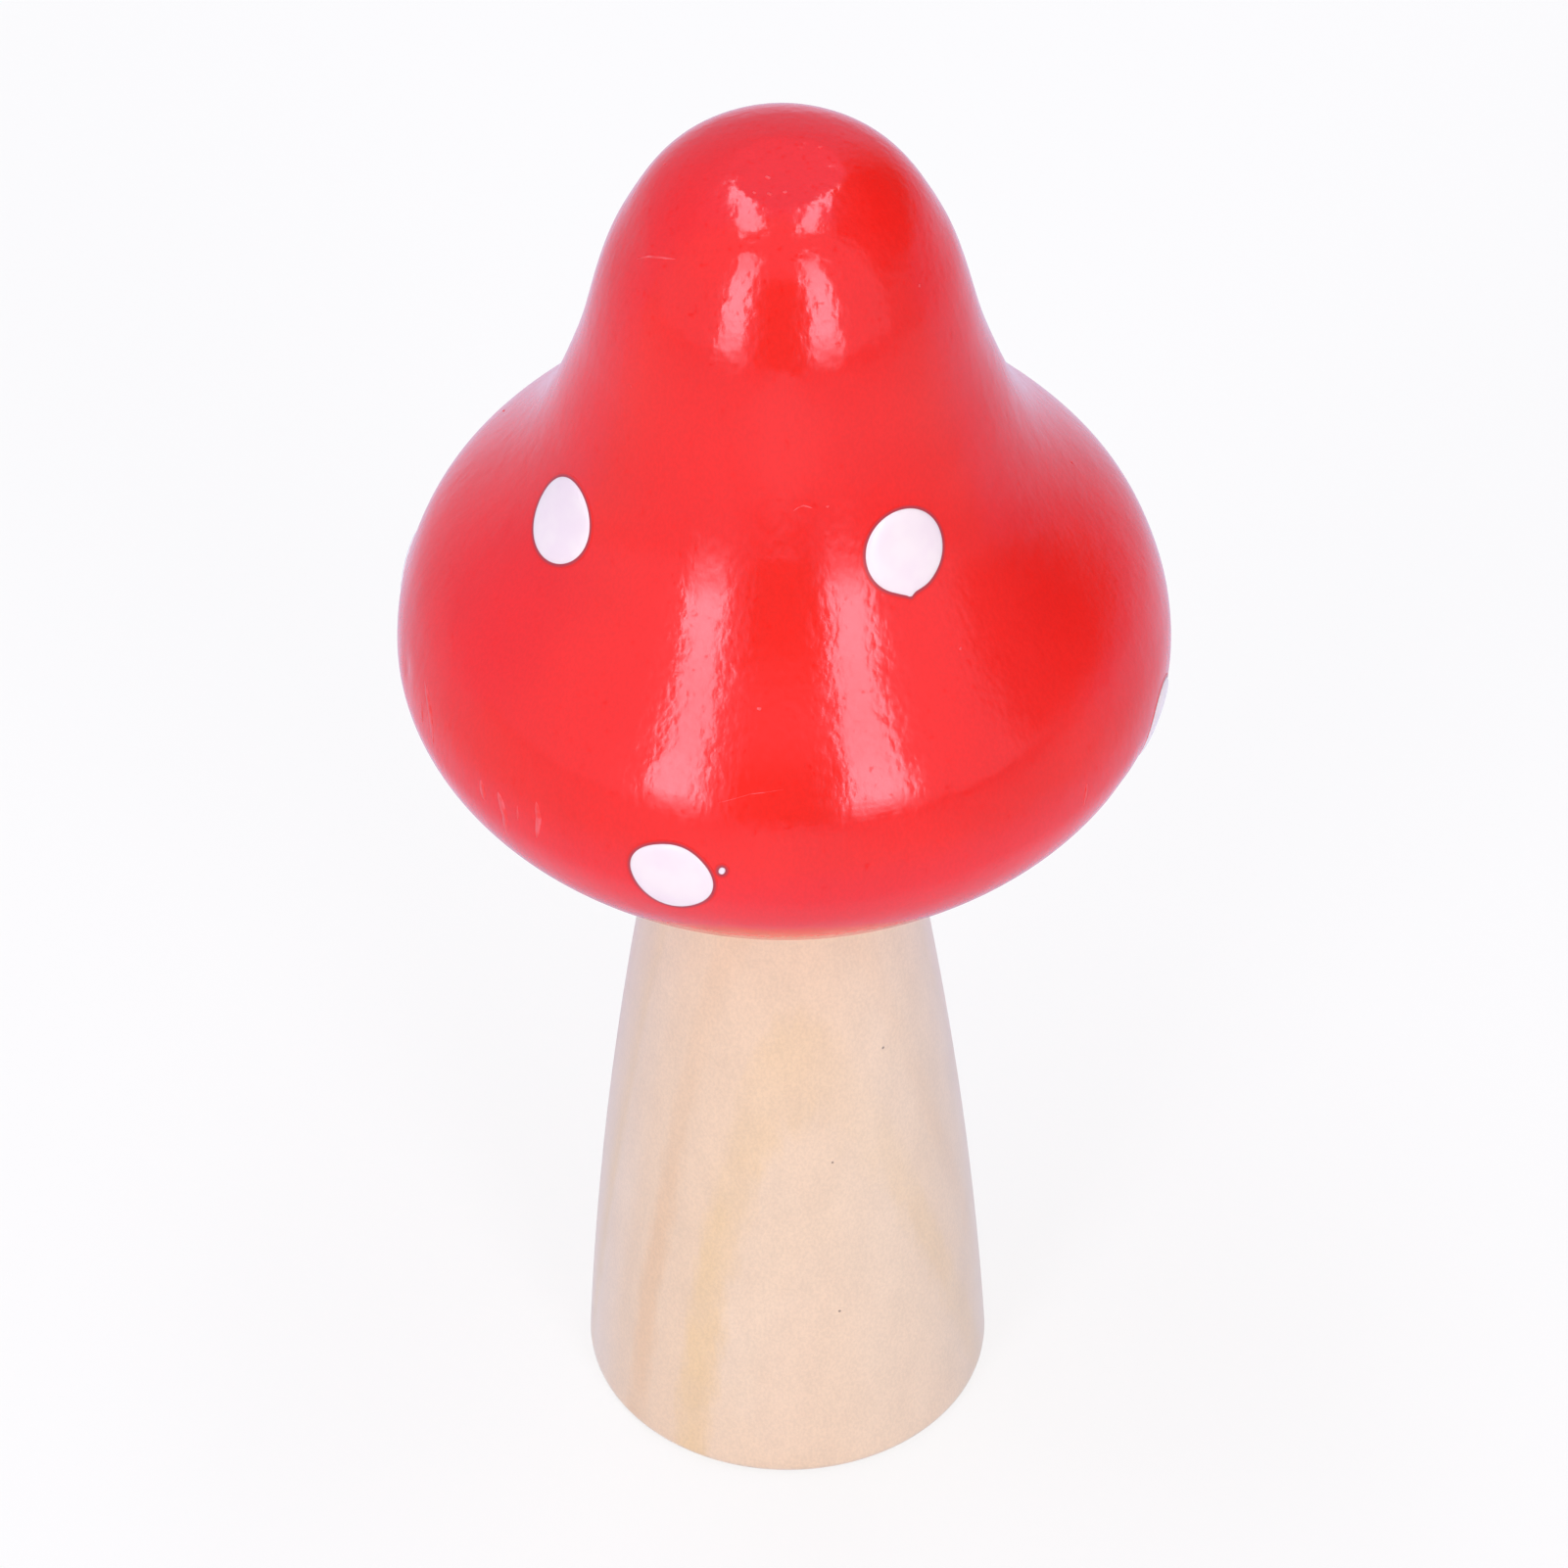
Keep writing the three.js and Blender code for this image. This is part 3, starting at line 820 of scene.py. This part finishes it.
def scuffed_lacquer():
    """Lacquer rubbed pale and dull where it stands proud."""
    n = Nodes("scuffed_lacquer")
    place = n.millimetres()
    rubbed = n.remap(n.noise(place, SCUFF_SCALE, detail=2.0), *SCUFF_EDGES)
    n.set(n.shader, "Base Color", n.mix(rubbed, SCUFF_RED, SCUFF_PALE))
    n.set(n.shader, "Roughness", n.remap(rubbed, 0.0, 1.0, *SCUFF_ROUGHNESS))
    n.set(n.shader, "Normal", n.bump(n.noise(place, SCUFF_GRAIN_SCALE, detail=1.0), SCUFF_BUMP))
    n.set(n.shader, "IOR", LACQUER_IOR)
    return n.material


def white_paint():
    """White paint, a little uneven, with a dark brim that fades into the lacquer: partly stained by it,
    partly painted shade along the dot's edge.
    """
    n = Nodes("white_paint")
    place = n.millimetres()
    cloud = n.noise(place, PAINT_CLOUD_SCALE, detail=2.0)
    white = n.mix(n.remap(cloud, *NOISE_SPAN), PAINT_THIN, PAINT_WHITE)
    brim = n.add("ShaderNodeAttribute", {"attribute_name": "brim"}).outputs["Fac"]
    # The brim's dark colour is partly stain and partly painted shade along the dot's edge
    stain_and_shade = n.mix(n.remap(brim, BRIM_STAIN_AND_SHADE_FADE, 1.0), PAINT_EDGE_AND_SHADE, LACQUER_DEEP)
    n.set(n.shader, "Base Color", n.mix(n.remap(brim, 0.0, BRIM_WHITE_END), white, stain_and_shade))
    n.set(n.shader, "Roughness", n.remap(cloud, *NOISE_SPAN, *PAINT_ROUGHNESS))
    n.set(n.shader, "Normal", n.bump(n.noise(place, PAINT_BUMP_SCALE, detail=2.0), PAINT_BUMP))
    return n.material


def stem_wood():
    """Pale wood under a clear satin coat: growth rings about a pith, fine speckle and a few dark specks."""
    n = Nodes("stem_wood")
    place = n.millimetres()
    axes = n.add("ShaderNodeSeparateXYZ", Vector=place).outputs
    offsets = []
    for axis, pith, lean in zip("XY", PITH, PITH_LEAN):
        middle = n.math("ADD", n.math("MULTIPLY", axes["Z"], lean), pith)
        offsets.append(n.math("SUBTRACT", axes[axis], middle))
    flat = n.add("ShaderNodeCombineXYZ", X=offsets[0], Y=offsets[1]).outputs[0]
    from_pith = n.add("ShaderNodeVectorMath", {"operation": "LENGTH"}, i0=flat).outputs["Value"]
    uneven = n.math("ADD", n.wander(*RING_SLOW), n.wander(*RING_RAGGED))
    above = n.math("SUBTRACT", axes["Z"], RING_BOW_MIDDLE)
    bow = n.math("MULTIPLY", n.math("MULTIPLY", above, above), RING_BOW)
    ring = n.math("ADD", n.math("ADD", from_pith, bow), uneven)
    stops = [(at / RING_REACH, colour) for at, colour in RING_COLOURS]
    figure = n.ramp(n.math("DIVIDE", ring, RING_REACH), stops)
    patches = n.noise(n.millimetres(RING_PATCH_STRETCH), RING_PATCH_SCALE, detail=2.0)
    shown = n.remap(patches, *RING_PATCH_EDGES, RING_PATCH_LEAST, 1.0)
    shown = n.math("MULTIPLY", shown, n.remap(axes["X"], *RING_FADE_ACROSS, 1.0, RING_FADED))
    shown = n.math("MULTIPLY", shown, n.remap(axes["Z"], *RING_FADE_UP, 1.0, RING_FADED))
    # Painted light: the ground colour turns lighter towards the right, standing in for light that the right
    # side lacks
    ground_with_painted_light = n.mix(n.remap(axes["X"], *WOOD_PAINTED_LIGHT_ACROSS), WOOD_CREAM, WOOD_PAINTED_LIGHT)
    colour = n.mix(shown, ground_with_painted_light, figure)
    speckle = n.noise(n.millimetres(SPECKLE_STRETCH), SPECKLE_SCALE, 2.0, WOOD_NOISE_ROUGHNESS)
    clouds = n.noise(n.millimetres(CLOUD_STRETCH), CLOUD_SCALE, 3.0, WOOD_NOISE_ROUGHNESS)
    colour = n.shade(colour, n.remap(speckle, *NOISE_SPAN, *SPECKLE_SHADE))
    colour = n.shade(colour, n.remap(clouds, *NOISE_SPAN, *CLOUD_SHADE))
    for spot, radius in WOOD_SPECKS:
        away = n.add("ShaderNodeVectorMath", {"operation": "DISTANCE"}, i0=place, i1=spot).outputs["Value"]
        dark = n.remap(away, WOOD_SPECK_CORE * radius, radius, WOOD_SPECK_STRENGTH, 0.0)
        colour = n.mix(dark, colour, WOOD_SPECK)
    n.set(n.shader, "Base Color", colour)
    n.set(n.shader, "Roughness", n.remap(speckle, *NOISE_SPAN, *WOOD_ROUGHNESS))
    n.set(n.shader, "Normal", n.bump(speckle, SPECKLE_BUMP))
    n.set(n.shader, "Specular IOR Level", WOOD_SPECULAR)
    n.set(n.shader, "Coat Weight", 1.0)
    n.set(n.shader, "Coat Roughness", WOOD_COAT_ROUGHNESS)
    n.set(n.shader, "Coat IOR", WOOD_COAT_IOR)
    n.set(n.shader, "Sheen Weight", WOOD_SHEEN)
    n.set(n.shader, "Sheen Roughness", WOOD_SHEEN_ROUGHNESS)
    n.set(n.shader, "Sheen Tint", WOOD_FUZZ)
    return n.material


def dowel_wood():
    """Beech: flecked, with close straight rings."""
    n = Nodes("dowel_wood")
    rings = n.noise(n.millimetres(BEECH_STRETCH), BEECH_SCALE, detail=2.0)
    flecks = n.noise(n.millimetres(BEECH_FLECK_STRETCH), BEECH_FLECK_SCALE, detail=1.0)
    flecks = n.math("MULTIPLY", n.remap(flecks, *BEECH_FLECK_EDGES), BEECH_FLECK_STRENGTH)
    colour = n.mix(n.remap(rings, *BEECH_EDGES), BEECH_PALE, BEECH_TAN)
    n.set(n.shader, "Base Color", n.mix(flecks, colour, BEECH_TAN))
    n.set(n.shader, "Roughness", n.remap(rings, *NOISE_SPAN, *BEECH_ROUGHNESS))
    n.set(n.shader, "Normal", n.bump(n.noise(n.millimetres(), BEECH_BUMP_SCALE, detail=2.0), BEECH_BUMP))
    return n.material


# Studio

def make_floor():
    """White paper, partly lit and shaded, and mostly a plain glow to the camera and to what mirrors it."""
    span = FLOOR_HALF
    corners = [(-span, -span, 0), (span, -span, 0), (span, span, 0), (-span, span, 0)]
    floor = mesh_object("floor", corners, [(0, 1, 2, 3)])
    n = Nodes("floor_paper")
    place = n.millimetres()
    n.set(n.shader, "Base Color", n.mix(n.noise(place, FLOOR_SCALE, detail=2.0), FLOOR_DARK, FLOOR_LIGHT))
    n.set(n.shader, "Roughness", FLOOR_ROUGHNESS)
    n.set(n.shader, "Specular IOR Level", 0.0)
    path = n.add("ShaderNodeLightPath")
    mirrored = path.outputs["Is Glossy Ray"]
    axes = n.add("ShaderNodeSeparateXYZ", Vector=place).outputs
    away = n.add("ShaderNodeVectorMath", {"operation": "LENGTH"}, i0=place).outputs["Value"]
    side_level = FLOOR_MIRRORED_LEVEL - FLOOR_SIDES_FALL
    level = n.remap(n.math("ABSOLUTE", axes["X"]), *FLOOR_SIDES, FLOOR_MIRRORED_LEVEL, side_level)
    level = n.math("SUBTRACT", level, n.remap(axes["X"], *FLOOR_RIGHT, 0.0, FLOOR_RIGHT_FALL))
    level = n.math("SUBTRACT", level, n.remap(away, *FLOOR_NEAR, FLOOR_NEAR_FALL, 0.0))
    level = n.choose(mirrored, 1.0, level)
    cool = n.remap(axes["Y"], *FLOOR_COOL_BACK)
    cool = n.math("MAXIMUM", cool, n.remap(away, *FLOOR_COOL_NEAR, 1.0, 0.0))
    tint = n.mix(mirrored, WHITE, n.mix(cool, FLOOR_TINT, TENT_BACK_TINT))
    glow = n.add("ShaderNodeEmission", Color=tint, Strength=level).outputs[0]
    in_view = n.math("MULTIPLY", path.outputs["Is Camera Ray"], FLOOR_GLOW_IN_VIEW)
    share = n.math("MAXIMUM", in_view, n.math("MULTIPLY", mirrored, FLOOR_GLOW_MIRRORED))
    blend = n.add("ShaderNodeMixShader", i0=share, i1=n.shader.outputs[0], i2=glow).outputs[0]
    n.set(n.tree.nodes["Material Output"], "Surface", blend)
    floor.data.materials.append(n.material)


def aim(piece, target):
    piece.rotation_mode = "QUATERNION"
    piece.rotation_quaternion = (target - piece.location).to_track_quat("-Z", "Y")


def make_panel(name, place, target, width, height, radiance):
    """A soft rectangular lamp whose face shines with one even radiance."""
    lamp = bpy.data.lights.new(name, "AREA")
    lamp.shape = "RECTANGLE"
    lamp.size = width
    lamp.size_y = height
    lamp.color = LAMP_TINT
    lamp.energy = radiance * math.pi * width * height
    panel = bpy.data.objects.new(name, lamp)
    bpy.context.scene.collection.objects.link(panel)
    panel.location = place
    aim(panel, target)
    panel.visible_camera = False


def make_lights():
    for name, turn, width in STRIPS:
        angle = math.radians(turn)
        for bottom, top, radiance in STRIP_PARTS:
            middle = (bottom + top) / 2
            place = Vector((STRIP_AWAY * math.sin(angle), -STRIP_AWAY * math.cos(angle), middle))
            make_panel(name, place, Vector((0, 0, middle)), width, top - bottom, radiance)
    for name, across, width in OVERHEADS:
        place = Vector((across, OVERHEAD_BACK, OVERHEAD_HEIGHT))
        below = Vector((across, OVERHEAD_BACK, 0))
        make_panel(name, place, below, width, OVERHEAD_LENGTH, OVERHEAD_RADIANCE)


def make_world():
    """A white tent: plain to the camera, softer for lighting, and mirrored with its dimmer openings."""
    world = bpy.data.worlds.new("studio")
    bpy.context.scene.world = world
    n = Nodes("studio", world)
    away = n.add("ShaderNodeSeparateXYZ", Vector=n.add("ShaderNodeTexCoord").outputs["Generated"])
    turn = n.math("ARCTAN2", away.outputs["X"], n.math("MULTIPLY", away.outputs["Y"], -1.0))
    rise = n.math("ARCSINE", away.outputs["Z"])
    around = n.math("ABSOLUTE", turn)
    sides = n.remap(around, *to_radians(TENT_SIDE_TURNS))
    low_sides = n.math("MULTIPLY", sides, n.remap(rise, *to_radians(TENT_LOW_RISES), 1.0, 0.0))
    kept = n.math("SUBTRACT", 1.0, n.math("MULTIPLY", low_sides, TENT_SIDE_FALL))
    tint = n.mix(sides, TENT_FRONT_TINT, TENT_BACK_TINT)
    lighting = n.remap(around, *to_radians(LIGHTING_SIDE_TURNS), LIGHTING_FRONT, LIGHTING_SIDE)
    behind = n.remap(around, *to_radians(LIGHTING_BACK_TURNS), 0.0, LIGHTING_SIDE - LIGHTING_BACK)
    lighting = n.math("SUBTRACT", lighting, behind)
    low_light = n.remap(rise, *to_radians(LIGHTING_LOW_RISES), LIGHTING_LOW, 0.0)
    lighting = n.math("ADD", lighting, low_light)
    for turns, rises, turn_blurs, rise_blurs, share, light_lost, opening_tint in OPENINGS:
        opening = n.math("MULTIPLY", n.window(turn, turns, turn_blurs), n.window(rise, rises, rise_blurs))
        kept = n.math("SUBTRACT", kept, n.math("MULTIPLY", opening, share))
        lighting = n.math("SUBTRACT", lighting, n.math("MULTIPLY", opening, light_lost))
        tint = n.mix(opening, tint, opening_tint)
    tent = n.math("MULTIPLY", kept, TENT_LEVEL)
    path = n.add("ShaderNodeLightPath")
    seen = path.outputs["Is Camera Ray"]
    mirrored = n.math("MAXIMUM", path.outputs["Is Glossy Ray"], path.outputs["Is Transmission Ray"])
    strength = n.choose(seen, n.choose(mirrored, lighting, tent), 1.0)
    n.set(n.tree.nodes["Background"], "Color", n.mix(seen, tint, WHITE))
    n.set(n.tree.nodes["Background"], "Strength", strength)


def make_camera():
    data = bpy.data.cameras.new("camera")
    data.sensor_width = CAMERA_SENSOR
    data.lens = CAMERA_LENS
    data.clip_start = CAMERA_CLIP_START
    camera = bpy.data.objects.new("camera", data)
    bpy.context.scene.collection.objects.link(camera)
    back = Vector((0, -math.cos(CAMERA_ELEVATION), math.sin(CAMERA_ELEVATION)))
    camera.location = CAMERA_TARGET + CAMERA_DISTANCE * back
    aim(camera, CAMERA_TARGET)
    bpy.context.scene.camera = camera


def dress(piece, material, slot, *nodes):
    piece.data.materials.clear()
    piece.data.materials.append(material)
    if nodes:
        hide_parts(*nodes)
    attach(piece, "root")


bpy.context.scene.view_settings.view_transform = "Standard"
make_camera()
make_floor()
make_lights()
make_world()

LACQUER = red_lacquer()
PAINT = white_paint()
dress(make_cap(), LACQUER, "red_lacquer", "cap")
dress(make_marks(), scuffed_lacquer(), "red_lacquer")
dress(make_stem(), stem_wood(), "stem_wood", "stem")
for node, dab in make_dots().items():
    dress(dab, PAINT, "white_paint", node)
fleck = make_dab("paint_fleck", FLECK_TURN, run_at(FLECK_HEIGHT), FLECK_SHAPE, FLECK_THICKNESS)
dress(fleck, PAINT, "white_paint")
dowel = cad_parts["dowel"]
dowel.data.materials.clear()
dowel.data.materials.append(dowel_wood())
